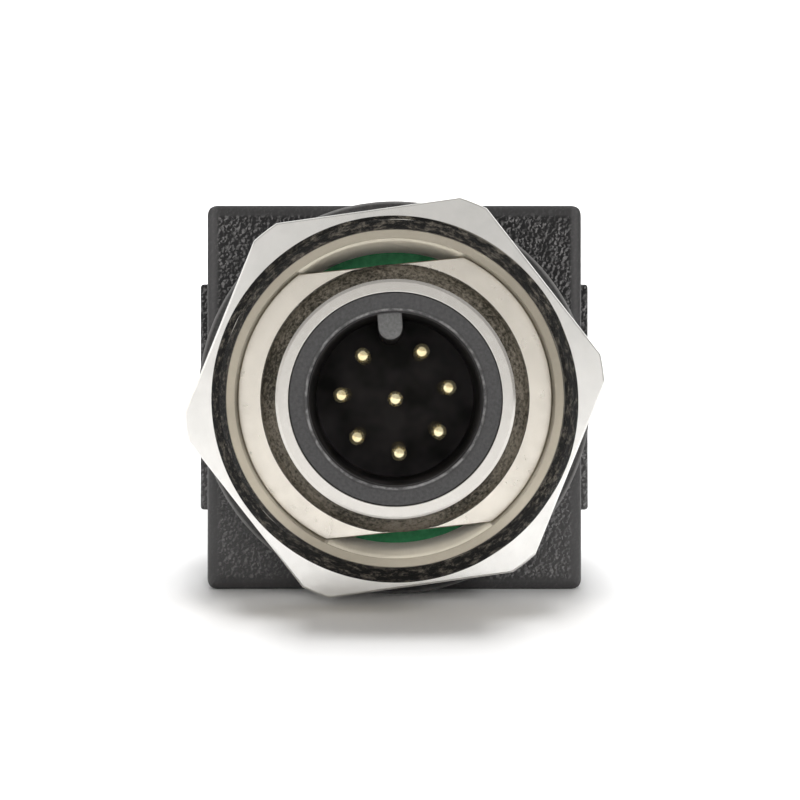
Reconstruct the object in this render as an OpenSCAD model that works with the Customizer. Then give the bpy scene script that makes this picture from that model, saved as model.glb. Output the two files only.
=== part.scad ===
// Panel adapter: eight-pin circular male connector at the front, modular jack at the rear.
// The connector axis runs along Y through the origin. The front points to -Y, up is +Z.
// The panel bears on the plane Y = 0, the front face of the gasket.

/* [Housing] */
// Width across the plain sides
house_w = 23.5; // [23.2:0.1:28]
// Height, which also sets the resting plane and the gasket
house_h = 24.1; // [23.6:0.1:28]
// Length from the gasket to the rear cover
house_len = 22.5; // [21.5:0.5:30]
// Side wall thickness
house_wall = 1.8; // [1.6:0.1:1.8]
// Front wall thickness
front_wall = 2.5; // [1.5:0.1:3]
// Radius of the four long edges
house_corner_r = 0.75; // [0.3:0.05:1.5]
// Radius of the front and rear border
house_edge_r = 0.6; // [0.2:0.05:1.2]
// Height of the raised side pads
pad_h = 14.5; // [10:0.5:18]
// How far each pad stands out
pad_out = 0.7; // [0.3:0.1:1.5]
// Length of the pads
pad_len = 15; // [13:0.5:18]
// Distance of the pads behind the front face
pad_back = 2.5; // [1:0.5:3]

/* [Panel seal and nut] */
// Gasket thickness
gasket_t = 2; // [1:0.25:4]
// Nut size across its flats
nut_af = 22; // [22:0.5:24]
// Nut thickness
nut_t = 5; // [3:0.5:6]
// Circle to which the corners of the nut are turned
nut_corner_d = 24.5; // [23.6:0.1:25]
// Turn of the nut about the connector axis
nut_turn = 8; // [0:1:59]

/* [Threaded neck] */
// Crest diameter of the panel thread
neck_d = 20; // [19.6:0.1:20.4]
// Depth of the panel thread, which sets the end chamfer
neck_thread_depth = 0.92; // [0.5:0.01:1.1]
// Pitch of the panel thread
neck_pitch = 1.5; // [1:0.25:2]
// Bore that guides the shell flange
neck_bore_d = 17.3; // [17.2:0.1:17.6]
// Length in front of the panel plane
neck_len = 12; // [11.5:0.5:16]
// Thickness of the square flange inside the housing
neck_flange_t = 3; // [2.5:0.1:4]

/* [Circular connector] */
// Outer diameter of the shell thread
shell_d = 11.9; // [11.5:0.1:12]
// Depth of the shell thread
shell_thread_depth = 0.55; // [0.3:0.05:0.6]
// Pitch of the shell thread
shell_pitch = 1; // [0.75:0.25:1.5]
// Length of the shell in front of its flange
shell_len = 8.3; // [7.5:0.1:10]
// Distance of the shell flange inside the neck mouth
shell_inset = 1.8; // [1:0.1:3]
// Thickness of the shell flange
shell_flange_t = 2.6; // [1.5:0.1:3.5]
// Distance across the two flats of the flange
shell_af = 14.6; // [14:0.1:16]
// Turn of the flats about the connector axis
shell_turn = 6; // [0:1:90]
// Section of the ring behind the thread
ring_t = 1.65; // [1.2:0.05:1.8]
// Depth of the ring seat
ring_seat = 0.5; // [0.2:0.05:0.8]
// Bore of the contact cup
cup_d = 8.6; // [8.4:0.1:8.7]
// Depth of the contact cup
cup_depth = 8; // [7:0.1:9]
// Diameter of the front lip of the cup
lip_d = 10.56; // [10.1:0.02:10.7]
// Thickness of the front lip
lip_t = 0.7; // [0.4:0.1:1.2]
// Width of the polarising key
key_w = 1.25; // [0.8:0.05:1.5]
// Distance of the key tip from the axis
key_tip = 2.95; // [2.7:0.05:3.6]
// Turn of the contacts and the key about the axis
insert_turn = 4; // [0:1:30]
// Diameter of one contact pin
pin_d = 0.8; // [0.6:0.05:1]
// Diameter of the contact circle
pin_circle_d = 5.5; // [5:0.1:5.6]
// Angle between neighbouring contacts
pin_step = 49; // [46:0.5:50]
// Distance of the pin tips behind the shell rim
pin_recess = 1.2; // [0.5:0.1:3]

/* [Boards] */
// Distance of the contact board behind the neck mouth
board_inset = 8.2; // [7.6:0.1:9]
// Contact board thickness
board_t = 1.2; // [0.8:0.1:1.6]
// Main board thickness
main_board_t = 1.6; // [1:0.1:2]
// Pitch of the link pins
link_pitch = 1.27; // [1:0.01:1.5]
// Side of one square link pin
link_pin = 0.45; // [0.35:0.05:0.55]

/* [Modular jack] */
// Width of the shield
jack_w = 16.2; // [15.6:0.1:16.4]
// Height of the shield
jack_h = 13.6; // [13.2:0.1:14]
// Sheet thickness of the shield
shield_t = 0.3; // [0.2:0.05:0.4]
// Width of the plug opening
port_w = 11.9; // [11.7:0.1:12.4]
// Height of the plug opening without its latch steps
port_h = 6.8; // [6.4:0.1:7]
// Depth of the plug opening
port_depth = 13.6; // [12.5:0.1:14]
// Width of the latch step
latch_w = 6.3; // [5.5:0.1:7]
// Width of the latch tip step
latch_tip_w = 3.9; // [3:0.1:5]
// Pitch of the jack contacts
contact_pitch = 1.02; // [0.95:0.01:1.1]
// Side of one contact wire
contact_t = 0.46; // [0.3:0.02:0.5]
// Slope of the spring legs
contact_slope = 12.5; // [8:0.5:16]
// Rear cover thickness
cover_t = 1.5; // [1:0.1:3]

/* [Hidden] */
$fn = 64;

// fits
slip = 0.1;
board_gap = 0.35;
guide = 0.05;
snug = 0.02;
eps = 0.01;

// stations along Y
house_y = gasket_t;
cavity_y = house_y + front_wall;
main_board_y = cavity_y + neck_flange_t;
jack_y = main_board_y + main_board_t;
cover_y = house_y + house_len;
rear_y = cover_y + cover_t;

// stations ahead of the panel plane
flange_z = neck_len - shell_inset;
rim_z = flange_z + shell_len;
board_z = neck_len - board_inset;
board_rear_z = board_z - board_t;
cup_floor_z = rim_z - cup_depth;
pin_tip_z = rim_z - pin_recess;
pin_end_z = board_rear_z - 0.6;

// the gasket reaches down to the resting plane
gasket_d = house_h;

// housing cavity and neck flange
cavity_w = house_w - 2 * house_wall;
cavity_h = house_h - 2 * house_wall;
cavity_corner_r = 0.5;
fit_corner_r = cavity_corner_r - slip;
plate_w = cavity_w - 2 * slip;
plate_h = cavity_h - 2 * slip;
board_w = cavity_w - 2 * board_gap;
board_h = cavity_h - 2 * board_gap;
neck_hole_d = neck_d + 2 * slip;
neck_minor_r = neck_d / 2 - neck_thread_depth;
neck_thread_z = neck_len - neck_thread_depth;
mouth_land = 0.03;
rear_bore_d = neck_bore_d - 0.7;
pocket_depth = neck_flange_t - 1.4;
pocket_w = jack_w + 0.6;

// shell
shell_bore_d = 9.6;
lip_seat_d = lip_d + 2 * snug;
insert_d = shell_bore_d - 2 * guide;
spigot_d = 11.5;
shell_flange_d = neck_bore_d - 2 * guide;
relief_r = shell_d / 2 - 0.35;
relief_len = ring_t - ring_seat + 2 * guide;
ring_mid_r = relief_r + guide + ring_t / 2;
ring_seat_r = ring_mid_r + ring_t / 2 + guide;
rim_bevel = 0.12;
shell_thread_z = rim_z - lip_t;
shell_thread_len = shell_thread_z - flange_z - relief_len;
key_gap = 360 - 6 * pin_step;

// links
link_row_z = rear_bore_d / 2 - 1.8;
link_len = main_board_y + board_rear_z;
link_block_w = 3 * link_pitch + 1.4;
link_block_h = 1.8;

// jack
jack_body_w = jack_w - 2 * shield_t - 2 * guide;
jack_body_h = jack_h - 2 * shield_t - 2 * guide;
port_top = jack_body_h / 2 - 2.05;
port_floor = port_top - port_h;
latch_h = 1.6;
latch_tip_h = 1.3;
contact_z = port_top + 0.6;
comb_w = contact_t + 0.14;
comb_top = contact_z + contact_t / 2 + 0.16;
hairpin_r = 0.55;
hairpin_y = rear_y - 2.6;
leg_len = 8.2;
tab_w = 1.5;
tab_out = 0.8;
tab_z = 3;

// rear cover
window_w = jack_w + 2 * slip;
window_h = jack_h + 2 * slip;
skirt_len = 2.5;
side_room = (plate_w - jack_w) / 2;
post_w = 0.75 * side_room;
post_h = 0.75 * (plate_h - jack_h) / 2;
hook_w = 6;
hook_t = 0.7 * side_room;
hook_len = 7;
hook_head = 2;
hook_out = 0.7;
hook_x = cavity_w / 2 - slip;

// Turned pieces are drawn along +Z and laid down so that +Z becomes the front.
module front() {
    rotate([90, 0, 0])
        children();
}

// Plates are drawn in X and Z of the part and stand from one Y to another.
module plate(y0, y1) {
    translate([0, y1, 0])
        rotate([90, 0, 0])
            linear_extrude(y1 - y0)
                children();
}

module rounded_rect(w, h, r) {
    square([w - 2 * r, h], center = true);
    square([w, h - 2 * r], center = true);
    for (x = [-1, 1])
        for (y = [-1, 1])
            translate([x * (w / 2 - r), y * (h / 2 - r)])
                circle(r);
}

// Block with rounded long edges, whose end at y0 has a rounded border.
module soft_block(w, h, y0, y1, corner_r, edge_r) {
    reach = y1 - y0 + 2 * edge_r + 2;
    mid = y0 + reach / 2;
    intersection() {
        plate(y0, y1)
            rounded_rect(w, h, corner_r);
        translate([0, mid, -h])
            linear_extrude(2 * h)
                rounded_rect(w, reach, edge_r);
        translate([-w, mid, 0])
            rotate([90, 0, 90])
                linear_extrude(2 * w)
                    rounded_rect(reach, h, edge_r);
    }
}

// Ring of rectangular section with four small round edges.
module soft_ring(r0, r1, t, r) {
    rotate_extrude()
        translate([(r0 + r1) / 2, t / 2])
            rounded_rect(r1 - r0, t, r);
}

// Outer side of a thread, drawn as rings one pitch apart. It ends at station z and fits into a length.
crest_share = 0.25;
function thread_side(r, depth, pitch, z, length) = [
    for (k = [floor(length / pitch) - 1:-1:0])
        for (p = [[0, 1 - crest_share / 2], [depth, 0.5], [0, crest_share / 2]])
            [r - p[0], z - (k + p[1]) * pitch]
];

// Stations of the contacts: number 8 is the middle one.
function pin_angle(i) = 90 + insert_turn + key_gap / 2 + (i - 1) * pin_step;
function pin_xy(i) = i == 8 ? [0, 0] : pin_circle_d / 2 * [cos(pin_angle(i)), sin(pin_angle(i))];
function contact_x(i) = (i - 4.5) * contact_pitch;
function link_x(i) = (i - 2.5) * link_pitch;

module housing() {
    color([0.09, 0.09, 0.095])
        difference() {
            union() {
                soft_block(house_w, house_h, house_y, cover_y, house_corner_r, house_edge_r);
                pad_y = house_y + pad_back;
                soft_block(house_w + 2 * pad_out, pad_h, pad_y, pad_y + pad_len, 0.28, 0.28);
            }
            plate(cavity_y, cover_y + 1)
                rounded_rect(cavity_w, cavity_h, cavity_corner_r);
            front()
                translate([0, 0, -cavity_y - 1])
                    cylinder(d = neck_hole_d, h = front_wall + 2);
            // catches for the rear cover
            hook_y = cover_y - skirt_len - hook_len;
            for (s = [-1, 1])
                translate([s * cavity_w / 2, hook_y + 1, 0])
                    cube([2 * hook_out + 0.3, 2.5, hook_w + 0.6], center = true);
        }
}

module rear_cover() {
    color([0.1, 0.1, 0.105])
        difference() {
            union() {
                translate([0, rear_y + cover_y, 0])
                    rotate([0, 0, 180])
                        soft_block(house_w, house_h, cover_y, rear_y, house_corner_r, house_edge_r);
                plate(cover_y - skirt_len, cover_y + eps)
                    rounded_rect(plate_w, plate_h, fit_corner_r);
                plate(jack_y, cover_y)
                    cover_posts();
                for (s = [-1, 1])
                    cover_hook(s);
            }
            plate(cover_y - skirt_len - 1, rear_y + 1)
                square([window_w, window_h], center = true);
        }
}

// Section of the four posts that clamp the main board.
module cover_posts() {
    intersection() {
        rounded_rect(plate_w, plate_h, fit_corner_r);
        for (x = [-1, 1])
            for (z = [-1, 1])
                translate([x * (plate_w / 2 - post_w / 2), z * (plate_h / 2 - post_h / 2)])
                    square([post_w, post_h], center = true);
    }
}

module cover_hook(s) {
    hook_y = cover_y - skirt_len - hook_len;
    mirror([s < 0 ? 1 : 0, 0, 0])
        translate([hook_x, hook_y, -hook_w / 2])
            linear_extrude(hook_w)
                polygon([
                    [-hook_t, 0],
                    [0, 0],
                    [hook_out, 1.2],
                    [hook_out, hook_head],
                    [0, hook_head],
                    [0, hook_len + eps],
                    [-hook_t, hook_len + eps]
                ]);
}

module panel_gasket() {
    color([0.13, 0.13, 0.13])
        front()
            translate([0, 0, -gasket_t])
                soft_ring(neck_d / 2 + slip, gasket_d / 2, gasket_t, 0.25);
}

module hex_nut() {
    bore_r = neck_d / 2 + guide;
    corner_r = nut_corner_d / 2;
    relief = 0.35;
    edge = 0.12;
    color([0.78, 0.76, 0.72])
        front()
            difference() {
                intersection() {
                    rotate([0, 0, nut_turn])
                        cylinder(d = nut_af / cos(30), h = nut_t, $fn = 6);
                    rotate_extrude()
                        polygon([
                            [0, 0],
                            [corner_r - edge, 0],
                            [corner_r, edge],
                            [corner_r, nut_t - edge],
                            [corner_r - edge, nut_t],
                            [0, nut_t]
                        ]);
                }
                rotate_extrude()
                    polygon([
                        [0, -1],
                        [bore_r + relief, -1],
                        [bore_r + relief, 0],
                        [bore_r, relief],
                        [bore_r, nut_t - relief],
                        [bore_r + relief, nut_t],
                        [bore_r + relief, nut_t + 1],
                        [0, nut_t + 1]
                    ]);
            }
}

module threaded_neck() {
    mouth = neck_minor_r - mouth_land - neck_bore_d / 2;
    root = 1;
    color([0.74, 0.71, 0.65]) {
        front()
            rotate_extrude()
                polygon(concat(
                    [[rear_bore_d / 2, -cavity_y - root]],
                    [[neck_minor_r, -cavity_y - root]],
                    [[neck_minor_r, -cavity_y]],
                    [[neck_d / 2, -cavity_y]],
                    thread_side(neck_d / 2, neck_thread_depth, neck_pitch, neck_thread_z, neck_thread_z),
                    [[neck_d / 2, neck_thread_z]],
                    [[neck_minor_r, neck_len]],
                    [[neck_minor_r - mouth_land, neck_len]],
                    [[neck_bore_d / 2, neck_len - mouth]],
                    [[neck_bore_d / 2, board_rear_z]],
                    [[rear_bore_d / 2, board_rear_z]]
                ));
        difference() {
            plate(cavity_y, main_board_y)
                rounded_rect(plate_w, plate_h, fit_corner_r);
            front()
                translate([0, 0, -main_board_y - 1])
                    cylinder(d = rear_bore_d, h = neck_flange_t + 2);
            plate(main_board_y - pocket_depth, main_board_y + 1)
                square([pocket_w, pocket_w], center = true);
        }
    }
}

module m12_shell() {
    color([0.76, 0.73, 0.68])
        front()
            difference() {
                union() {
                    translate([0, 0, board_z])
                        cylinder(d = spigot_d, h = flange_z - board_z);
                    translate([0, 0, flange_z - shell_flange_t])
                        rotate([0, 0, shell_turn])
                            intersection() {
                                cylinder(d = shell_flange_d, h = shell_flange_t);
                                translate([0, 0, shell_flange_t / 2])
                                    cube([2 * shell_flange_d, shell_af, 2 * shell_flange_t], center = true);
                            }
                }
                translate([0, 0, flange_z - ring_seat])
                    cylinder(r = ring_seat_r, h = shell_len);
                translate([0, 0, board_z - 1])
                    cylinder(d = shell_bore_d, h = rim_z);
            }
    color([0.76, 0.73, 0.68])
        front()
            rotate_extrude()
                polygon(concat(
                    [[shell_bore_d / 2, flange_z - shell_flange_t]],
                    [[relief_r, flange_z - shell_flange_t]],
                    [[relief_r, flange_z + relief_len]],
                    [[shell_d / 2, flange_z + relief_len]],
                    thread_side(shell_d / 2, shell_thread_depth, shell_pitch, shell_thread_z, shell_thread_len),
                    [[shell_d / 2, rim_z - rim_bevel]],
                    [[shell_d / 2 - rim_bevel, rim_z]],
                    [[lip_seat_d / 2, rim_z]],
                    [[lip_seat_d / 2, rim_z - lip_t]],
                    [[shell_bore_d / 2, rim_z - lip_t]]
                ));
}

module shell_o_ring() {
    color([0.12, 0.115, 0.11])
        front()
            translate([0, 0, flange_z - ring_seat + ring_t / 2])
                rotate_extrude()
                    translate([ring_mid_r, 0])
                        circle(d = ring_t);
}

module m12_insert() {
    mouth = 0.24;
    rear_z = board_z + 0.6;
    key_len = cup_depth - 0.5;
    hole_d = pin_d + 2 * snug;
    color([0.2, 0.2, 0.205])
        front()
            difference() {
                union() {
                    difference() {
                        union() {
                            translate([0, 0, rear_z])
                                cylinder(d = insert_d, h = rim_z - rear_z);
                            translate([0, 0, rim_z - lip_t])
                                cylinder(d = lip_d, h = lip_t);
                        }
                        translate([0, 0, cup_floor_z])
                            cylinder(d = cup_d, h = cup_depth + 1);
                        translate([0, 0, rim_z - mouth])
                            cylinder(d1 = cup_d, d2 = cup_d + 4 * mouth, h = 2 * mouth);
                    }
                    translate([0, 0, cup_floor_z - eps])
                        rotate([0, 0, insert_turn])
                            linear_extrude(key_len + eps)
                                key_profile();
                }
                for (i = [1:8])
                    translate([pin_xy(i)[0], pin_xy(i)[1], rear_z - 1])
                        cylinder(d = hole_d, h = cup_floor_z - rear_z + 2);
            }
}

// Inward key with a round tip, rooted in the wall of the cup.
module key_profile() {
    root_r = cup_d / 2 + 0.2;
    tip_y = key_tip + key_w / 2;
    translate([0, tip_y])
        circle(d = key_w);
    translate([-key_w / 2, tip_y])
        square([key_w, root_r - tip_y]);
}

module contact_pin(i) {
    tip_r = pin_d / 2;
    color([0.83, 0.65, 0.3])
        front()
            translate([pin_xy(i)[0], pin_xy(i)[1], 0]) {
                translate([0, 0, pin_end_z])
                    cylinder(r = tip_r, h = pin_tip_z - tip_r - pin_end_z);
                translate([0, 0, pin_tip_z - tip_r])
                    sphere(tip_r);
            }
}

module contact_board() {
    color([0.06, 0.3, 0.16])
        front()
            translate([0, 0, board_rear_z])
                difference() {
                    cylinder(d = neck_bore_d - 2 * slip, h = board_t);
                    for (i = [1:8])
                        translate([pin_xy(i)[0], pin_xy(i)[1], -1])
                            cylinder(d = pin_d + 2 * snug, h = board_t + 2);
                    for (s = [-1, 1])
                        for (i = [1:4])
                            translate([link_x(i), s * link_row_z, board_t / 2])
                                cube([link_pin + 2 * snug, link_pin + 2 * snug, board_t + 2], center = true);
                }
}

module main_board() {
    hole = contact_t + 2 * snug;
    color([0.06, 0.3, 0.16])
        difference() {
            plate(main_board_y, jack_y)
                rounded_rect(board_w, board_h, fit_corner_r);
            for (s = [-1, 1])
                for (i = [1:4])
                    translate([link_x(i), main_board_y, s * link_row_z])
                        cube([link_pin + 2 * snug, 4 * main_board_t, link_pin + 2 * snug], center = true);
            for (i = [1:8])
                translate([contact_x(i), main_board_y, contact_z])
                    cube([hole, 4 * main_board_t, hole], center = true);
            for (x = [-1, 1])
                for (z = [-1, 1])
                    translate([x * (jack_w / 2 - shield_t / 2), main_board_y, z * tab_z])
                        cube([shield_t + 2 * guide, 4 * main_board_t, tab_w + 2 * guide], center = true);
        }
}

module link_header(s) {
    color([0.08, 0.08, 0.085])
        translate([0, main_board_y - link_len, s * link_row_z])
            difference() {
                translate([-link_block_w / 2, 0, -link_block_h / 2])
                    cube([link_block_w, link_len, link_block_h]);
                for (i = [1:4])
                    translate([link_x(i), link_len / 2, 0])
                        cube([link_pin + 2 * snug, link_len + 2, link_pin + 2 * snug], center = true);
            }
}

module link_pins(s) {
    pin_len = link_len + board_t + main_board_t;
    color([0.8, 0.66, 0.36])
        for (i = [1:4])
            translate([link_x(i) - link_pin / 2, -board_z, s * link_row_z - link_pin / 2])
                cube([link_pin, pin_len, link_pin]);
}

// Stepped opening for a modular plug, drawn in X and Z.
module port_profile(grow) {
    translate([-port_w / 2 - grow, port_floor - grow])
        square([port_w + 2 * grow, port_h + 2 * grow]);
    translate([-latch_w / 2 - grow, port_floor - latch_h - grow])
        square([latch_w + 2 * grow, latch_h + 2 * grow]);
    translate([-latch_tip_w / 2 - grow, port_floor - latch_h - latch_tip_h - grow])
        square([latch_tip_w + 2 * grow, latch_tip_h + 2 * grow]);
}

module jack_body() {
    face_y = rear_y - shield_t;
    color([0.07, 0.07, 0.075])
        difference() {
            plate(jack_y, face_y)
                square([jack_body_w, jack_body_h], center = true);
            plate(face_y - port_depth, face_y + 1)
                port_profile(0);
            for (i = [1:8])
                translate([contact_x(i) - comb_w / 2, jack_y - 1, port_top - 1])
                    cube([comb_w, hairpin_y + 1 - jack_y + 1, comb_top - port_top + 1]);
        }
}

module jack_shield() {
    color([0.72, 0.72, 0.7])
        difference() {
            union() {
                plate(jack_y, rear_y)
                    square([jack_w, jack_h], center = true);
                for (x = [-1, 1])
                    for (z = [-1, 1])
                        translate([x * (jack_w / 2 - shield_t / 2), jack_y, z * tab_z])
                            cube([shield_t, 2 * (main_board_t + tab_out), tab_w], center = true);
            }
            plate(main_board_y - tab_out - 1, rear_y - shield_t)
                square([jack_w - 2 * shield_t, jack_h - 2 * shield_t], center = true);
            plate(rear_y - 2 * shield_t, rear_y + 1)
                port_profile(0.15);
        }
}

// One bent wire: a tail through the board, a leg along the roof, a hairpin and a sloping spring leg.
module jack_contact(i) {
    tail_y = main_board_y;
    turn_z = contact_z - hairpin_r;
    color([0.85, 0.67, 0.31])
        translate([contact_x(i) - contact_t / 2, 0, 0])
            rotate([90, 0, 90])
                linear_extrude(contact_t) {
                    translate([tail_y, contact_z - contact_t / 2])
                        square([hairpin_y - tail_y, contact_t]);
                    translate([hairpin_y, turn_z])
                        difference() {
                            circle(hairpin_r + contact_t / 2);
                            circle(hairpin_r - contact_t / 2);
                            translate([-2, -2])
                                square([2, 4]);
                        }
                    translate([hairpin_y, turn_z])
                        rotate(contact_slope)
                            translate([-leg_len, -hairpin_r - contact_t / 2])
                                square([leg_len, contact_t]);
                }
}

housing();
rear_cover();
panel_gasket();
hex_nut();
threaded_neck();
m12_shell();
shell_o_ring();
m12_insert();
contact_board();
main_board();
link_header(1);  // link_header_upper
link_header(-1);  // link_header_lower
link_pins(1);  // link_pins_upper
link_pins(-1);  // link_pins_lower
jack_body();
jack_shield();
for (i = [1:8])
    contact_pin(i);
for (i = [1:8])
    jack_contact(i);
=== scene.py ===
import math

import bmesh
import bpy
import numpy as np
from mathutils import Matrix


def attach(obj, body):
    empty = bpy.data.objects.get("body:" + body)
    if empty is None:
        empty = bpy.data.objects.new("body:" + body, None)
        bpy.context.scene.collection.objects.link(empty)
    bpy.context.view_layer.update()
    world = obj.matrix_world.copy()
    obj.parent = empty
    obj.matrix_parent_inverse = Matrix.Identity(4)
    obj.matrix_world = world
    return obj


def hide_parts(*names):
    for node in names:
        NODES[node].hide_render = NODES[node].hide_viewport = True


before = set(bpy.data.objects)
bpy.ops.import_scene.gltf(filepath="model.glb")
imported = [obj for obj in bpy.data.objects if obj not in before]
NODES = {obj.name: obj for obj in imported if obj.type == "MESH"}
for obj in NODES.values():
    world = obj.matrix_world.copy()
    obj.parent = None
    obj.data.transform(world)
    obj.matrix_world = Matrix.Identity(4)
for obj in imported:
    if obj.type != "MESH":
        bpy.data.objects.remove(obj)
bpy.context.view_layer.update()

MM = 0.001

# Sizes in millimetres, as in the CAD source. Stations z run forward from the panel plane, so Y = -z.
HOUSE_HALF_W, HOUSE_HALF_H, HOUSE_Y = 11.75, 12.05, 2.0
NECK_R, NECK_ROOT, NECK_BORE, NECK_LEN, NECK_PITCH = 10.0, 9.08, 8.65, 12.0, 1.5
NECK_REAR_BORE, NECK_STEP_Z = 8.3, -5.9
MOUTH_Z, WALL_Z = NECK_LEN - 0.43, NECK_LEN - 0.5
GROOVE_PITCH, GROOVE_DEPTH, GROOVE_START = 0.3, 0.15, NECK_LEN - 0.6
PLATE_HALF_W, PLATE_HALF_H, PLATE_WINDOW, PLATE_FRONT, PLATE_REAR = 9.85, 10.15, 8.4, -4.5, -7.5
BOARD_Z, BOARD_REAR = 3.8, 2.6
FLANGE_Z, FLANGE_R, FLANGE_T, RIM_Z = 10.2, 8.6, 2.6, 18.5
SHELL_R, SHELL_ROOT, SHELL_PITCH, SHELL_TURN, SHELL_HALF_AF = 5.95, 5.4, 1.0, 6.0, 7.3
SHELL_BORE, SHELL_TAIL_R, SHELL_THREAD_Z, SHELL_COLLAR_Z = 4.8, 5.75, FLANGE_Z + 1.25, RIM_Z - 0.75
SEAT_Z, SEAT_R, SEAT_FOOT_R = FLANGE_Z - 0.5, 7.35, 5.6
RING_T, RING_MID = 1.65, 6.475
GASKET_BORE, GASKET_R, GASKET_T = 10.1, 12.05, 2.0
NUT_HALF_AF, NUT_T, NUT_TURN, NUT_CLIP, NUT_BORE = 11.0, 5.0, 8.0, 12.25, 10.05
LIP_R, LIP_SEAT_R, LIP_Z, LIP_MOUTH_R = 5.26, 5.28, RIM_Z - 0.7, 4.56
CUP_R, CUP_TAIL_R, CUP_REAR, CUP_FLOOR, CUP_TOP = 4.3, 4.75, 4.4, 10.5, RIM_Z - 0.26
INSERT_TURN, KEY_W, KEY_TIP, KEY_ROOT, KEY_MID, KEY_Z = 4.0, 1.25, 2.95, 4.5, 3.9, RIM_Z - 0.5
PIN_R, PIN_CIRCLE, PIN_STEP, PIN_TIP, PIN_REAR = 0.4, 2.75, 49.0, 17.3, 2.0

# Points round a loop, and loops in one turn of a thread
SEG = 288
TURN = 16
# A thread's crest and flank as shares of half a pitch, and its run-in and run-out in pitches
CREST_SHARE, FLANK_SHARE, RUN_IN, RUN_OUT = 0.16, 0.62, 0.6, 0.35
PHI = np.linspace(0.0, 2.0 * math.pi, SEG, endpoint=False)
TINY = 1e-9


def angles_with(creases):
    """The even angles, with the nearest ones moved onto the given angles in degrees."""
    phi = np.degrees(PHI)
    for a in creases:
        k = int(round((a % 360.0) / 360.0 * SEG)) % SEG
        phi[k] = a % 360.0
    return np.radians(np.sort(phi))


# Meshes
def ring(r, z, phi=PHI):
    """One loop round the connector axis: radius and station may vary with the angle."""
    r = np.broadcast_to(np.asarray(r, float), phi.shape)
    z = np.broadcast_to(np.asarray(z, float), phi.shape)
    return np.stack([r * np.cos(phi), -z, r * np.sin(phi)], axis=1) * MM


def soften(points, radius, steps):
    """Rounds the corners of an open (r, z) outline. A point close by on each side keeps the flats flat."""
    most_of_side, close_by = 0.45, 1.1
    out = [points[0]]
    for a, b, c in zip(points, points[1:], points[2:]):
        a, b, c = (np.array(q, float) for q in (a, b, c))
        la, lc = np.linalg.norm(a - b), np.linalg.norm(c - b)
        d = min(radius, most_of_side * la, most_of_side * lc)
        p, q = b + (a - b) / la * d, b + (c - b) / lc * d
        out.append(tuple(b + (a - b) / la * close_by * d))
        for i in range(steps + 1):
            t = i / steps
            out.append(tuple((1 - t) ** 2 * p + 2 * t * (1 - t) * b + t * t * q))
        out.append(tuple(b + (c - b) / lc * close_by * d))
    out.append(points[-1])
    return out


def mesh_object(name, verts, faces, sharp):
    """A smooth-shaded object whose edges are sharp above that angle in degrees."""
    me = bpy.data.meshes.new(name)
    me.from_pydata([tuple(v) for v in verts], [], faces)
    bm = bmesh.new()
    bm.from_mesh(me)
    bmesh.ops.remove_doubles(bm, verts=bm.verts, dist=2e-7)
    bmesh.ops.dissolve_degenerate(bm, edges=bm.edges, dist=1e-8)
    bmesh.ops.recalc_face_normals(bm, faces=bm.faces)
    bm.to_mesh(me)
    bm.free()
    me.polygons.foreach_set("use_smooth", [True] * len(me.polygons))
    me.set_sharp_from_angle(angle=math.radians(sharp))
    ob = bpy.data.objects.new(name, me)
    bpy.context.scene.collection.objects.link(ob)
    return ob


def loops_mesh(rings, closed=False, cap_first=False, cap_last=False, helix=None):
    """Quads between neighbouring loops, with fans over the capped ends.
    helix is (first loop, loops, loops per turn) of a thread, where each loop runs on into the next turn."""
    n = len(rings[0])
    verts = [v for r in rings for v in r]
    faces = []
    count = len(rings)
    for k in range(count if closed else count - 1):
        a, b = k, (k + 1) % count
        c, d = a, b
        if helix and helix[0] <= k < helix[0] + helix[1]:
            c, d = (min(q + helix[2], helix[0] + helix[1]) for q in (a, b))
        faces += [(a * n + i, a * n + i + 1, b * n + i + 1, b * n + i) for i in range(n - 1)]
        faces.append((a * n + n - 1, c * n, d * n, b * n + n - 1))
    for cap, base in ((cap_first, 0), (cap_last, (count - 1) * n)):
        if cap:
            verts.append(np.mean(rings[base // n], axis=0))
            faces += [(base + i, base + (i + 1) % n, len(verts) - 1) for i in range(n)]
    return verts, faces


def piece(name, parts, body, replaced, slot, sharp=18.0):
    """One object from several (verts, faces) parts, in place of the named CAD nodes."""
    verts, faces = [], []
    for v, f in parts:
        base = len(verts)
        verts += list(v)
        faces += [tuple(base + i for i in face) for face in f]
    ob = mesh_object(name, verts, faces, sharp)
    ob.data.materials.append(MAT[slot])
    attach(ob, body)
    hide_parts(*replaced)


def thread_rings(crest, root, pitch, z0, z1, phi=PHI, limit=None):
    """Loops that follow a right-hand helix with a trapezoid section between two stations.
    Without a limit(z) on the radius the thread runs out to its root at both ends."""
    count = int(math.ceil((z1 - z0) / pitch * TURN)) + TURN
    out = []
    for k in range(count + 1):
        level = z0 + pitch * (k / TURN - 1.0)
        z = level + pitch * phi / (2.0 * math.pi)
        up = abs((k / TURN) % 1.0 - 0.5) * 2.0
        depth = min(1.0, max(0.0, (up - CREST_SHARE) / FLANK_SHARE))
        r = np.full(phi.shape, crest - (crest - root) * depth)
        if limit is None:
            start = np.clip((z - z0) / (RUN_IN * pitch), 0.0, 1.0)
            end = np.clip((z1 - z) / (RUN_OUT * pitch), 0.0, 1.0)
            r = root + (r - root) * np.minimum(start, end)
        z = np.clip(z, z0, z1)
        if limit is not None:
            r = np.minimum(r, limit(z))
        out.append(ring(r, z, phi))
    return out


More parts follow.
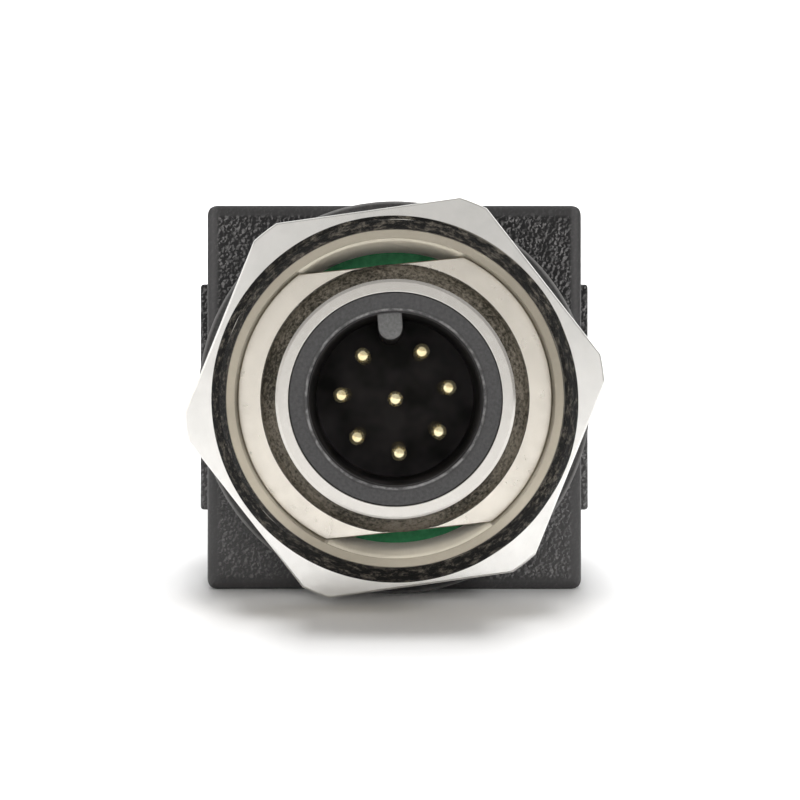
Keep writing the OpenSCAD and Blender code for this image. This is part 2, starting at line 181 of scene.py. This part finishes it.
# Materials
class Shader:
    """A procedural principled material whose coordinates are in millimetres of the part's frame."""

    def __init__(self, name, color, rough, metallic=0.0):
        self.mat = bpy.data.materials.new(name)
        self.mat.use_nodes = True
        self.tree = self.mat.node_tree
        self.bsdf = self.tree.nodes["Principled BSDF"]
        self.set("Base Color", (*color, 1.0))
        self.set("Roughness", rough)
        self.set("Metallic", metallic)
        coord = self.tree.nodes.new("ShaderNodeTexCoord")
        self.facing = coord.outputs["Normal"]
        self.mm = self.vector("SCALE", coord.outputs["Object"], scale=1.0 / MM)

    def set(self, socket, value):
        self.bsdf.inputs[socket].default_value = value

    def feed(self, socket, output):
        self.tree.links.new(output, self.bsdf.inputs[socket])

    def put(self, target, value):
        if isinstance(value, bpy.types.NodeSocket):
            self.tree.links.new(value, target)
        else:
            target.default_value = value

    def vector(self, op, a, b=None, scale=None):
        n = self.tree.nodes.new("ShaderNodeVectorMath")
        n.operation = op
        self.put(n.inputs[0], a)
        if b is not None:
            self.put(n.inputs[1], b)
        if scale is not None:
            n.inputs["Scale"].default_value = scale
        return n.outputs["Value" if op == "LENGTH" else "Vector"]

    def math(self, op, a, b=0.0, clamp=False):
        n = self.tree.nodes.new("ShaderNodeMath")
        n.operation = op
        n.use_clamp = clamp
        self.put(n.inputs[0], a)
        self.put(n.inputs[1], b)
        return n.outputs[0]

    def noise(self, scale, detail=3.0, rough=0.55, at=None, out="Fac"):
        """Noise with that many features in a millimetre."""
        n = self.tree.nodes.new("ShaderNodeTexNoise")
        self.put(n.inputs["Vector"], at or self.mm)
        n.inputs["Scale"].default_value = scale
        n.inputs["Detail"].default_value = detail
        n.inputs["Roughness"].default_value = rough
        return n.outputs[out]

    def cells(self, scale, at=None):
        """Rounded cells, that many in a millimetre."""
        n = self.tree.nodes.new("ShaderNodeTexVoronoi")
        n.feature = "SMOOTH_F1"
        self.put(n.inputs["Vector"], at or self.mm)
        n.inputs["Scale"].default_value = scale
        return n.outputs["Distance"]

    def ramp(self, value, lo, hi, out_lo=0.0, out_hi=1.0):
        n = self.tree.nodes.new("ShaderNodeMapRange")
        self.put(n.inputs["Value"], value)
        n.inputs["From Min"].default_value = lo
        n.inputs["From Max"].default_value = hi
        n.inputs["To Min"].default_value = out_lo
        n.inputs["To Max"].default_value = out_hi
        return n.outputs["Result"]

    def mix(self, fac, a, b):
        """A mix of two colours."""
        n = self.tree.nodes.new("ShaderNodeMix")
        n.data_type = "RGBA"
        self.put(n.inputs["Factor"], fac)
        for socket, value in ((n.inputs[6], a), (n.inputs[7], b)):
            self.put(socket, value if isinstance(value, bpy.types.NodeSocket) else (*value, 1.0))
        return n.outputs[2]

    def blend(self, fac, a, b):
        """A mix of two plain values."""
        n = self.tree.nodes.new("ShaderNodeMix")
        self.put(n.inputs["Factor"], fac)
        self.put(n.inputs[2], a)
        self.put(n.inputs[3], b)
        return n.outputs[0]

    def bump(self, height, strength, depth, normal=None):
        """The normal of a relief of that depth in millimetres, on top of another normal."""
        n = self.tree.nodes.new("ShaderNodeBump")
        n.inputs["Strength"].default_value = strength
        n.inputs["Distance"].default_value = depth * MM
        self.put(n.inputs["Height"], height)
        if normal is not None:
            self.put(n.inputs["Normal"], normal)
        return n.outputs["Normal"]

    def split(self, vector):
        n = self.tree.nodes.new("ShaderNodeSeparateXYZ")
        self.put(n.inputs[0], vector)
        return n.outputs

    def join(self, x=0.0, y=0.0):
        n = self.tree.nodes.new("ShaderNodeCombineXYZ")
        self.put(n.inputs[0], x)
        self.put(n.inputs[1], y)
        return n.outputs[0]

    def across(self):
        """The position across the connector axis."""
        return self.vector("MULTIPLY", self.mm, (1.0, 0.0, 1.0))

    def radius(self):
        """Distance from the connector axis in millimetres."""
        return self.vector("LENGTH", self.across())

    def streaks(self, radius, stretch):
        """Millimetres drawn out along circles round the connector axis, true to scale at that radius."""
        flat = self.across()
        around = self.vector("SCALE", self.vector("NORMALIZE", flat), scale=radius / stretch)
        return self.vector("ADD", around, self.join(y=self.vector("LENGTH", flat)))


def shaded(color, factor):
    return tuple(min(1.0, factor * c) for c in color)


def plastic(name, color, rough, grain, depth):
    """Moulded plastic with an eroded texture of that grain, in cells per millimetre."""
    s = Shader(name, color, rough)
    fine = s.noise(grain * 2.2, 4.0, 0.65)
    height = s.math("ADD", s.cells(grain), s.math("MULTIPLY", fine, 0.6))
    s.feed("Normal", s.bump(height, 1.0, depth))
    tone = s.ramp(s.noise(grain * 1.3, 3.0, 0.7), 0.35, 0.75)
    s.feed("Base Color", s.mix(tone, shaded(color, 0.72), shaded(color, 1.3)))
    s.feed("Roughness", s.ramp(s.noise(grain * 0.8, 2.0), 0.3, 0.7, rough - 0.1, rough + 0.12))
    return s.mat


def housing_skin(name):
    """Coarse eroded skin that runs out into a smooth band along the edges of the housing."""
    s = Shader(name, (0.012, 0.012, 0.012), 0.4)
    side, y, height = s.split(s.mm)
    x, z = s.math("ABSOLUTE", side), s.math("ABSOLUTE", height)

    # How many of the box's faces are near, which tells its edges from its faces
    inner, outer = 0.85, 0.55
    near = s.math("ADD", s.ramp(x, HOUSE_HALF_W - inner, HOUSE_HALF_W - outer),
                  s.ramp(z, HOUSE_HALF_H - inner, HOUSE_HALF_H - outer))
    near = s.math("ADD", near, s.ramp(y, HOUSE_Y + inner, HOUSE_Y + outer))
    skin = s.ramp(near, 1.0, 1.7, 1.0, 0.12)

    # Beads of uneven shape, with a painted highlight on one side of each bead, as if lit from one direction
    beads = 4.9
    uneven = s.vector("SUBTRACT", s.noise(4.0, 2.0, 0.5, out="Color"), (0.5, 0.5, 0.5))
    at = s.vector("ADD", s.mm, s.vector("SCALE", uneven, scale=0.34))
    bead = s.cells(beads, at)
    fine = s.noise(11.0, 2.0, 0.6)
    relief = s.math("ADD", bead, s.math("MULTIPLY", fine, 0.35))
    s.feed("Normal", s.bump(s.math("MULTIPLY", relief, skin), 1.0, 0.1))
    lee = s.cells(beads, s.vector("ADD", at, (-0.05, 0.0, 0.02)))
    rough_fine = s.math("MULTIPLY", s.math("SUBTRACT", fine, 0.5), 0.2)
    slope = s.math("ADD", s.math("SUBTRACT", lee, bead), rough_fine)
    patches = s.ramp(s.noise(1.3, 2.0), 0.32, 0.62, 0.35, 1.0)
    # Painted highlight on one side of the beads, in patches
    painted_glint = s.math("MULTIPLY", s.math("MULTIPLY", s.ramp(slope, -0.02, 0.17), patches), skin)

    # Tones, paler towards the base as painted light from the floor, and with a painted highlight in the
    # middle of the side edges' rounding
    painted_floor_light = s.ramp(height, 5.0, -6.0)
    # Painted highlight in the middle of the rounding of the side edges
    rim = s.math("MULTIPLY", s.ramp(x, HOUSE_HALF_W - 0.8, HOUSE_HALF_W - 0.42),
                 s.ramp(x, HOUSE_HALF_W - 0.1, HOUSE_HALF_W - 0.36))
    band = s.mix(painted_floor_light, (0.032, 0.031, 0.031), (0.046, 0.045, 0.045))
    band = s.mix(rim, band, (0.064, 0.062, 0.062))
    base = s.mix(skin, band, (0.007, 0.0068, 0.007))
    base = s.mix(painted_floor_light, base, (0.05, 0.0485, 0.0485))
    highlight_tone = s.mix(painted_floor_light, (0.19, 0.184, 0.182), (0.2, 0.195, 0.193))
    s.feed("Base Color", s.mix(painted_glint, base, highlight_tone))
    s.feed("Roughness", s.blend(skin, 0.42, s.ramp(painted_glint, 0.0, 0.7, 0.42, 0.28)))
    s.set("Specular IOR Level", 0.3)
    return s.mat


def nickel(name, color, rough, zones=None):
    """Turned and plated metal with faint rings. zones(shader, r, y) lists other finishes and painted light
    or shade: (mask, dark, light, roughness, metallic, bump in millimetres, grains per millimetre)."""
    s = Shader(name, color, rough, 1.0)
    r = s.radius()
    y = s.split(s.mm)[1]
    turned = s.noise(9.0, 2.0, 0.6, at=s.join(r, y))
    normal = s.bump(turned, 0.1, 0.002)
    tone = s.mix(s.ramp(s.noise(0.55, 3.0), 0.3, 0.7), shaded(color, 0.95), shaded(color, 1.03))
    shine = s.ramp(s.noise(1.6, 3.0), 0.3, 0.75, rough - 0.03, rough + 0.05)
    if zones:
        metal = 1.0
        for mask, dark, light, zone_rough, zone_metal, depth, grain in zones(s, r, y):
            grit = s.noise(grain, 5.0, 0.8, at=s.streaks(NECK_ROOT, 2.2))
            tone = s.mix(mask, tone, s.mix(s.ramp(grit, 0.5, 0.74), dark, light))
            if depth:
                normal = s.bump(s.math("MULTIPLY", grit, mask), 1.0, depth, normal)
            shine = s.blend(mask, shine, zone_rough)
            if zone_metal < 1.0:
                metal = s.blend(mask, metal, zone_metal)
        s.put(s.bsdf.inputs["Metallic"], metal)
        s.set("Specular IOR Level", 0.2)
    s.feed("Base Color", tone)
    s.feed("Roughness", shine)
    s.feed("Normal", normal)
    return s.mat


def neck_zones(s, r, y):
    """The matt bore with its mouth, paler deeper in as painted light, and the rough end chamfer with the
    first turn of thread, darkened on its forward-facing flanks as painted dark reflection and shade, with
    painted glints.
    """
    # Painted dark reflection and shade on the forward-facing flanks of the end chamfer and first turn, with
    # painted glints
    ahead = s.ramp(s.split(s.facing)[1], -0.2, -0.5)
    painted_dark_flanks = s.math("MULTIPLY", ahead, s.ramp(r, NECK_ROOT - 0.05, NECK_ROOT), clamp=True)
    first_turn = s.ramp(y, -(NECK_LEN - 2.2), -(NECK_LEN - 1.8))
    painted_dark_flanks = s.math("MULTIPLY", painted_dark_flanks, first_turn, clamp=True)
    bore = s.ramp(r, NECK_ROOT - 0.01, NECK_ROOT - 0.05)
    # Painted light, paler deeper in the bore where shade falls
    painted_light_deep = s.math("MULTIPLY", bore, s.ramp(y, -(NECK_LEN - 1.5), -BOARD_Z), clamp=True)
    mouth = s.math("MULTIPLY", bore, s.ramp(y, -WALL_Z, -(MOUTH_Z + 0.01)), clamp=True)
    return [(bore, (0.72, 0.67, 0.56), (0.79, 0.735, 0.62), 0.5, 0.0, 0.0, 4.0),
            (painted_light_deep, (0.86, 0.82, 0.72), (0.9, 0.86, 0.77), 0.5, 0.0, 0.0, 4.0),
            (mouth, (0.8, 0.745, 0.63), (0.86, 0.8, 0.69), 0.34, 0.5, 0.0, 4.0),
            (painted_dark_flanks, (0.002, 0.0018, 0.0015), (0.17, 0.15, 0.122), 0.5, 0.0, 0.12, 4.0)]


def shell_zones(s, r, y):
    """The rim is a cleaner silver than the flange."""
    rim = s.ramp(y, -(RIM_Z - 1.4), -(RIM_Z - 1.0))
    return [(rim, (0.66, 0.635, 0.595), (0.72, 0.695, 0.655), 0.2, 1.0, 0.0, 3.0)]


def rubber(name, dark, light, scale, spec, drawn=None, painted_highlight_r=None):
    """Rubber with a fine grit, drawn out round the axis where drawn gives (radius, stretch), and a painted
    highlight beyond the given edge radius."""
    rough = 0.55
    s = Shader(name, dark, rough)
    grit = s.noise(scale, 5.0, 0.7, at=s.streaks(*drawn) if drawn else None)
    broad = s.math("MULTIPLY", s.math("SUBTRACT", s.noise(0.2, 2.0), 0.5), 0.7)
    grit = s.math("ADD", grit, broad)
    tone = s.mix(s.ramp(grit, 0.4, 0.68), dark, light)
    # Painted highlight on the rounded outer edge
    if painted_highlight_r:
        highlight_tone = s.mix(grit, (0.1, 0.098, 0.096), (0.2, 0.196, 0.192))
        tone = s.mix(s.ramp(s.radius(), painted_highlight_r, painted_highlight_r + 0.15), tone, highlight_tone)
    s.feed("Base Color", tone)
    s.feed("Normal", s.bump(grit, 0.6, 0.03))
    s.feed("Roughness", s.ramp(s.noise(scale * 0.4, 2.0), 0.3, 0.7, rough - 0.08, rough + 0.12))
    s.set("Specular IOR Level", spec)
    return s.mat


def gold(name):
    s = Shader(name, (0.93, 0.8, 0.48), 0.2, 0.9)
    tone = s.ramp(s.noise(2.5, 2.0), 0.35, 0.65)
    s.feed("Base Color", s.mix(tone, (0.9, 0.75, 0.42), (0.98, 0.88, 0.58)))
    s.feed("Roughness", s.ramp(s.noise(9.0, 3.0), 0.3, 0.7, 0.12, 0.26))
    return s.mat


def board(name):
    s = Shader(name, (0.05, 0.34, 0.13), 0.4)
    weave = s.noise(3.0, 3.0, 0.6)
    s.feed("Base Color", s.mix(s.ramp(weave, 0.35, 0.7), (0.052, 0.38, 0.144), (0.08, 0.49, 0.195)))
    s.feed("Normal", s.bump(weave, 0.2, 0.01))
    s.set("Specular IOR Level", 0.3)
    return s.mat


def carrier(name):
    """Grey contact carrier: darker inside the cup as painted shade, with a painted highlight along the
    lip's inner edge, and a pale key face.
    """
    s = Shader(name, (0.07, 0.07, 0.071), 0.5)
    r = s.radius()
    y = s.split(s.mm)[1]
    grit = s.noise(6.0, 4.0, 0.65)
    grain = s.ramp(grit, 0.35, 0.7)
    # Painted shade inside the cup
    painted_cup_shade = s.ramp(r, CUP_R + 0.12, CUP_R + 0.05)
    # Painted highlight along the lip's inner edge, flecked
    edge = s.math("MULTIPLY", s.ramp(r, CUP_R + 0.22, CUP_R + 0.16), s.ramp(painted_cup_shade, 1.0, 0.0))
    face = s.math("MULTIPLY", s.ramp(r, CUP_R + 0.02, CUP_R - 0.02),
                  s.ramp(y, -(KEY_Z - 0.1), -(KEY_Z - 0.03)), clamp=True)
    tone = s.mix(grain, (0.038, 0.037, 0.037), (0.061, 0.0595, 0.0595))
    patches = s.ramp(s.noise(0.5, 2.0), 0.35, 0.65)
    tone = s.mix(painted_cup_shade, tone, s.mix(patches, (0.008, 0.0075, 0.0075), (0.032, 0.029, 0.03)))
    fleck = s.ramp(s.noise(2.2, 4.0, 0.7), 0.42, 0.62)
    tone = s.mix(edge, tone, s.mix(fleck, (0.075, 0.073, 0.073), (0.25, 0.245, 0.243)))
    tone = s.mix(face, tone, s.mix(grain, (0.095, 0.094, 0.092), (0.15, 0.148, 0.146)))
    s.feed("Base Color", tone)
    s.feed("Roughness", s.blend(painted_cup_shade, 0.5, 0.8))
    s.set("Specular IOR Level", 0.3)
    s.feed("Normal", s.bump(grit, 0.4, 0.012))
    return s.mat


MAT = {
    "housing_plastic": housing_skin("housing_plastic"),
    "seal_rubber": rubber("seal_rubber", (0.03, 0.029, 0.029), (0.055, 0.053, 0.052), 5.0, 0.3,
                          painted_highlight_r=GASKET_R - 0.23),
    "nickel_nut": nickel("nickel_nut", (0.86, 0.845, 0.815), 0.2),
    "nickel_neck": nickel("nickel_neck", (0.72, 0.67, 0.58), 0.26, neck_zones),
    "nickel_shell": nickel("nickel_shell", (0.77, 0.72, 0.64), 0.24, shell_zones),
    "ring_rubber": rubber("ring_rubber", (0.018, 0.016, 0.011), (0.155, 0.135, 0.107), 8.0, 0.2,
                          drawn=(RING_MID, 1.5)),
    "insert_plastic": carrier("insert_plastic"),
    "board_green": board("board_green"),
    "jack_plastic": plastic("jack_plastic", (0.018, 0.018, 0.019), 0.45, 7.0, 0.012),
    "shield_steel": nickel("shield_steel", (0.7, 0.7, 0.69), 0.34),
    "gold_pin": gold("gold_pin"),
    "gold_wire": gold("gold_wire"),
}


# Neck, with its panel thread
def square_r(half_w, half_h):
    """Radius of a rectangle round the axis."""
    return np.minimum(half_w / np.maximum(np.abs(np.cos(PHI)), TINY),
                      half_h / np.maximum(np.abs(np.sin(PHI)), TINY))


def flange_r(phi, inset=0.0):
    """Radius of the shell's flange, a disc with two flats."""
    across_flats = np.maximum(np.abs(np.sin(phi - math.radians(SHELL_TURN))), TINY)
    return np.minimum(FLANGE_R - inset, (SHELL_HALF_AF - inset) / across_flats)


neck = thread_rings(NECK_R, NECK_ROOT, NECK_PITCH, PLATE_FRONT, NECK_LEN,
                    limit=lambda z: NECK_ROOT + (NECK_LEN - z))
neck_turns = len(neck)
neck += [ring(NECK_ROOT - 0.02, NECK_LEN), ring(NECK_BORE, MOUTH_Z), ring(NECK_BORE, WALL_Z)]
# Turned grooves of the bore, which show beside the flats of the flange and keep clear of it elsewhere
crest = np.clip(flange_r(PHI) + 0.05, NECK_BORE - GROOVE_DEPTH, NECK_BORE)
for z in np.arange(GROOVE_START, BOARD_Z + GROOVE_PITCH, -GROOVE_PITCH):
    neck += [ring(NECK_BORE, z), ring(crest, z - 0.3 * GROOVE_PITCH)]
neck += [ring(NECK_BORE, BOARD_Z), ring(NECK_BORE, BOARD_REAR)]
neck += [ring(NECK_REAR_BORE, BOARD_REAR), ring(NECK_REAR_BORE, NECK_STEP_Z)]
window, plate = square_r(PLATE_WINDOW, PLATE_WINDOW), square_r(PLATE_HALF_W, PLATE_HALF_H)
neck += [ring(window, NECK_STEP_Z), ring(window, PLATE_REAR)]
neck += [ring(plate, PLATE_REAR), ring(plate, PLATE_FRONT)]
piece("neck_threaded", [loops_mesh(neck, closed=True, helix=(0, neck_turns - 1, TURN))],
      "adapter", ["threaded_neck"], "nickel_neck")

# Circular connector shell
FLAT_END = math.degrees(math.asin(SHELL_HALF_AF / FLANGE_R))
FLAT_ENDS = (FLAT_END, 180 - FLAT_END, 180 + FLAT_END, -FLAT_END)
SHELL_PHI = angles_with([SHELL_TURN + a for a in FLAT_ENDS])
flange = {inset: flange_r(SHELL_PHI, inset) for inset in (0.0, 0.02, 0.05, 0.07, 0.08, 0.1)}
seat = np.minimum(SEAT_R, flange[0.08])
shell = [(SHELL_BORE, BOARD_Z), (SHELL_TAIL_R, BOARD_Z), (SHELL_TAIL_R, FLANGE_Z - FLANGE_T),
         (flange[0.1], FLANGE_Z - FLANGE_T), (flange[0.0], FLANGE_Z - FLANGE_T + 0.1),
         (flange[0.0], FLANGE_Z - 0.05), (flange[0.02], FLANGE_Z - 0.02), (flange[0.05], FLANGE_Z),
         (np.minimum(SEAT_R + 0.02, flange[0.07]), FLANGE_Z), (seat, FLANGE_Z - 0.03), (seat, SEAT_Z),
         (SEAT_FOOT_R, SEAT_Z)]
shell = [ring(r, z, SHELL_PHI) for r, z in shell]
foot = len(shell)
shell += thread_rings(SHELL_R, SHELL_ROOT, SHELL_PITCH, SHELL_THREAD_Z, SHELL_COLLAR_Z, SHELL_PHI)
shell_turns = len(shell) - foot
rim = soften([(SHELL_ROOT, SHELL_COLLAR_Z), (SHELL_R - 0.02, RIM_Z - 0.62), (SHELL_R, RIM_Z - 0.12),
              (SHELL_R - 0.12, RIM_Z), (LIP_SEAT_R + 0.03, RIM_Z), (LIP_SEAT_R, RIM_Z - 0.05),
              (LIP_SEAT_R, LIP_Z), (SHELL_BORE, LIP_Z)], 0.04, 2)
shell += [ring(r, z, SHELL_PHI) for r, z in rim]
piece("shell_threaded", [loops_mesh(shell, closed=True, helix=(foot, shell_turns - 1, TURN))],
      "adapter", ["m12_shell"], "nickel_shell")

# Ring round the foot of the shell's thread, and panel gasket
half = 0.5 * RING_T
torus = [ring(RING_MID + half * math.cos(a), SEAT_Z + half + half * math.sin(a))
         for a in np.linspace(0, 2 * math.pi, 28, endpoint=False)]
piece("ring_seal", [loops_mesh(torus, closed=True)], "adapter", ["shell_o_ring"], "ring_rubber", 60.0)
outline = soften([(GASKET_BORE, -0.5 * GASKET_T), (GASKET_BORE, 0.0), (GASKET_R, 0.0),
                  (GASKET_R, -GASKET_T), (GASKET_BORE, -GASKET_T), (GASKET_BORE, -0.5 * GASKET_T)], 0.25, 5)
gasket = [ring(r, z) for r, z in outline[:-1]]
piece("gasket_ring", [loops_mesh(gasket, closed=True)], "gasket", ["panel_gasket"], "seal_rubber", 60.0)

# Nut, a hexagon with its corners turned to a circle
CORNER = 30.0 - math.degrees(math.acos(NUT_HALF_AF / NUT_CLIP))
NUT_PHI = angles_with([NUT_TURN + 60.0 * k + s * CORNER for k in range(6) for s in (-1, 1)])
off_flat = (NUT_PHI - math.radians(NUT_TURN)) % (math.pi / 3.0) - math.pi / 6.0
hexagon = np.minimum(NUT_HALF_AF / np.cos(off_flat), NUT_CLIP)
bevel = [(0.0, 0.12), (0.035, 0.04), (0.12, 0.0)]
nut = [(hexagon - inset, z) for z, inset in bevel]
nut += [(hexagon - inset, NUT_T - z) for z, inset in reversed(bevel)]
nut += [(NUT_BORE + 0.37, NUT_T), (NUT_BORE + 0.33, NUT_T - 0.03), (NUT_BORE, NUT_T - 0.35),
        (NUT_BORE, 0.35), (NUT_BORE + 0.35, 0.0)]
nut = [ring(r, z, NUT_PHI) for r, z in nut]
piece("nut_hex", [loops_mesh(nut, closed=True)], "nut", ["hex_nut"], "nickel_nut")

# Contact carrier with its key
cup = soften([(PIN_R, CUP_REAR), (CUP_TAIL_R, CUP_REAR), (CUP_TAIL_R, LIP_Z), (LIP_R, LIP_Z),
              (LIP_R, RIM_Z), (LIP_MOUTH_R, RIM_Z), (CUP_R, CUP_TOP), (CUP_R, CUP_FLOOR),
              (PIN_R, CUP_FLOOR)], 0.06, 3)
half = KEY_W / 2
arc = [math.pi + math.pi * i / 14 for i in range(15)]
key_side = [(half * math.cos(a), KEY_TIP + half + half * math.sin(a)) for a in arc]
key_side += [(half, KEY_ROOT), (-half, KEY_ROOT)]


def key_loop(inset, z):
    """The key's outline at a station, drawn in by inset towards its middle."""
    turn = math.radians(INSERT_TURN)
    pts = []
    for x, y in key_side:
        k = 1.0 - inset / max(1e-6, math.hypot(x, y - KEY_MID))
        x, y = x * k, KEY_MID + (y - KEY_MID) * k
        pts.append((x * math.cos(turn) - y * math.sin(turn), -z, x * math.sin(turn) + y * math.cos(turn)))
    return np.array(pts) * MM


key = [key_loop(0.0, CUP_FLOOR - 0.1), key_loop(0.0, KEY_Z - 0.12), key_loop(0.04, KEY_Z - 0.03),
       key_loop(0.12, KEY_Z)]
cup_mesh = loops_mesh([ring(r, z) for r, z in cup], cap_first=True, cap_last=True)
piece("insert_cup", [cup_mesh, loops_mesh(key, cap_last=True)], "adapter", ["m12_insert"], "insert_plastic")

# Contact pins: seven on the circle, away from the key, and one in the middle
pin_phi = np.linspace(0.0, 2.0 * math.pi, 40, endpoint=False)
pin_side = [(PIN_R, PIN_REAR), (PIN_R, PIN_TIP - 0.42), (0.385, PIN_TIP - 0.3), (0.33, PIN_TIP - 0.14),
            (0.24, PIN_TIP - 0.045), (0.12, PIN_TIP)]
pin_verts, pin_faces = loops_mesh([ring(r, z, pin_phi) for r, z in pin_side], cap_first=True, cap_last=True)
first_angle = 90.0 + INSERT_TURN + (360.0 - 6 * PIN_STEP) / 2
for i in range(1, 9):
    angle = math.radians(first_angle + (i - 1) * PIN_STEP)
    reach = PIN_CIRCLE if i < 8 else 0.0
    at = np.array([reach * math.cos(angle), 0.0, reach * math.sin(angle)]) * MM
    piece("pin_gold_%d" % i, [([v + at for v in pin_verts], pin_faces)],
          "adapter", ["contact_pin_%d" % i], "gold_pin", 50.0)

# CAD nodes that stay
SLOT_OF = {"housing": "housing_plastic", "rear_cover": "housing_plastic", "contact_board": "board_green",
           "main_board": "board_green", "link_header_upper": "jack_plastic",
           "link_header_lower": "jack_plastic", "link_pins_upper": "gold_wire",
           "link_pins_lower": "gold_wire", "jack_body": "jack_plastic", "jack_shield": "shield_steel"}
SLOT_OF.update({"jack_contact_%d" % i: "gold_wire" for i in range(1, 9)})
BEVELLED = ("rear_cover", "jack_body", "jack_shield", "main_board", "contact_board")
for name, slot in SLOT_OF.items():
    ob = NODES[name]
    ob.data.materials.clear()
    ob.data.materials.append(MAT[slot])
    if name in BEVELLED:
        bev = ob.modifiers.new("edge", "BEVEL")
        bev.width = 0.06 * MM
        bev.segments = 2
        bev.limit_method = "ANGLE"
        bev.angle_limit = math.radians(40)
        bev.harden_normals = False

# Floor that sweeps up into the backdrop, in metres
scene = bpy.context.scene
FLOOR = -HOUSE_HALF_H * MM
FLOOR_HALF_W = 0.9
profile = [(-0.9, 0.0), (0.35, 0.0), (0.42, 0.01), (0.47, 0.04), (0.5, 0.1), (0.51, 0.2), (0.51, 0.7)]
sweep = []
for y, z in profile:
    sweep += [(-FLOOR_HALF_W, y, FLOOR + z), (FLOOR_HALF_W, y, FLOOR + z)]
me = bpy.data.meshes.new("floor")
me.from_pydata(sweep, [], [(2 * i, 2 * i + 1, 2 * i + 3, 2 * i + 2) for i in range(len(profile) - 1)])
floor = bpy.data.objects.new("floor", me)
scene.collection.objects.link(floor)
paper = bpy.data.materials.new("floor")
paper.use_nodes = True
shade = paper.node_tree.nodes["Principled BSDF"]
shade.inputs["Base Color"].default_value = (0.93, 0.93, 0.93, 1.0)
shade.inputs["Roughness"].default_value = 0.95
shade.inputs["Specular IOR Level"].default_value = 0.0
me.materials.append(paper)


# Lights, in metres
def area(name, loc, aim, size, radiance):
    """A rectangular light that gives off that radiance towards aim."""
    data = bpy.data.lights.new(name, "AREA")
    data.shape = "RECTANGLE"
    data.size, data.size_y = size
    data.energy = radiance * math.pi * size[0] * size[1]
    ob = bpy.data.objects.new(name, data)
    ob.location = loc
    d = np.array(aim, float) - np.array(loc, float)
    d /= np.linalg.norm(d)
    ob.rotation_euler = (math.acos(-d[2]), 0.0, math.atan2(d[0], -d[1]) + math.pi)
    scene.collection.objects.link(ob)
    return ob


# The metal mirrors the graded surroundings below, and not these three
for unmirrored in (area("behind_above", (0.0, -0.05, 0.5), (0.0, 0.0, FLOOR), (0.14, 0.5), 10.5),
                   area("near_lens", (0.0, -0.45, 0.03), (0, 0, 0), (0.2, 0.2), 6.6),
                   area("key_right", (0.28, -0.40, 0.24), (0, 0, 0), (0.12, 0.12), 14.0)):
    unmirrored.visible_glossy = False
area("fill_left", (-0.34, -0.34, 0.02), (0, 0, 0), (0.25, 0.3), 0.5)
area("back_wash", (0.0, 0.22, 0.3), (0.0, 0.6, 0.1), (1.2, 0.3), 3.0)

# Surroundings: graded where they are seen, mirrored or seen through, and a plain soft light otherwise
world = bpy.data.worlds.new("studio")
scene.world = world
world.use_nodes = True
sky = world.node_tree
bg = sky.nodes["Background"]
bg.inputs["Color"].default_value = (1.0, 0.99, 0.975, 1.0)
path = sky.nodes.new("ShaderNodeLightPath")
coord = sky.nodes.new("ShaderNodeTexCoord")
lean = sky.nodes.new("ShaderNodeVectorMath")
lean.operation = "DOT_PRODUCT"
lean.inputs[1].default_value = (-0.35, 0.0, -1.0)
sky.links.new(coord.outputs["Generated"], lean.inputs[0])
graded = sky.nodes.new("ShaderNodeMapRange")
graded.interpolation_type = "SMOOTHSTEP"
for socket, value in (("From Min", -0.25), ("From Max", 0.12), ("To Min", 0.5), ("To Max", 0.95)):
    graded.inputs[socket].default_value = value
sky.links.new(lean.outputs["Value"], graded.inputs["Value"])
total = path.outputs["Is Camera Ray"]
for kind in ("Is Glossy Ray", "Is Transmission Ray"):
    both = sky.nodes.new("ShaderNodeMath")
    both.operation = "ADD"
    both.use_clamp = True
    sky.links.new(total, both.inputs[0])
    sky.links.new(path.outputs[kind], both.inputs[1])
    total = both.outputs[0]
level = sky.nodes.new("ShaderNodeMapRange")
level.inputs["To Min"].default_value = 0.25
sky.links.new(graded.outputs["Result"], level.inputs["To Max"])
sky.links.new(total, level.inputs["Value"])
sky.links.new(level.outputs["Result"], bg.inputs["Strength"])

# Camera, solved from the photograph: focal length and picture centre in its pixels
PHOTO_PX, FOCAL_PX, SHIFT_PX = 800.0, 1559.0, 10.0
SENSOR_MM = 36.0
cam = bpy.data.cameras.new("camera")
cam.sensor_width = SENSOR_MM
cam.lens = FOCAL_PX / PHOTO_PX * SENSOR_MM
cam.clip_start = 0.005
cam.clip_end = 10.0
cam.shift_x = SHIFT_PX / PHOTO_PX
cam.shift_y = -SHIFT_PX / PHOTO_PX
cam_ob = bpy.data.objects.new("camera", cam)
cam_ob.location = (-0.00027, -0.0955, 0.00045)
cam_ob.rotation_euler = (math.pi / 2, 0.0, 0.0)
scene.collection.objects.link(cam_ob)
scene.camera = cam_ob
scene.view_settings.view_transform = "Standard"
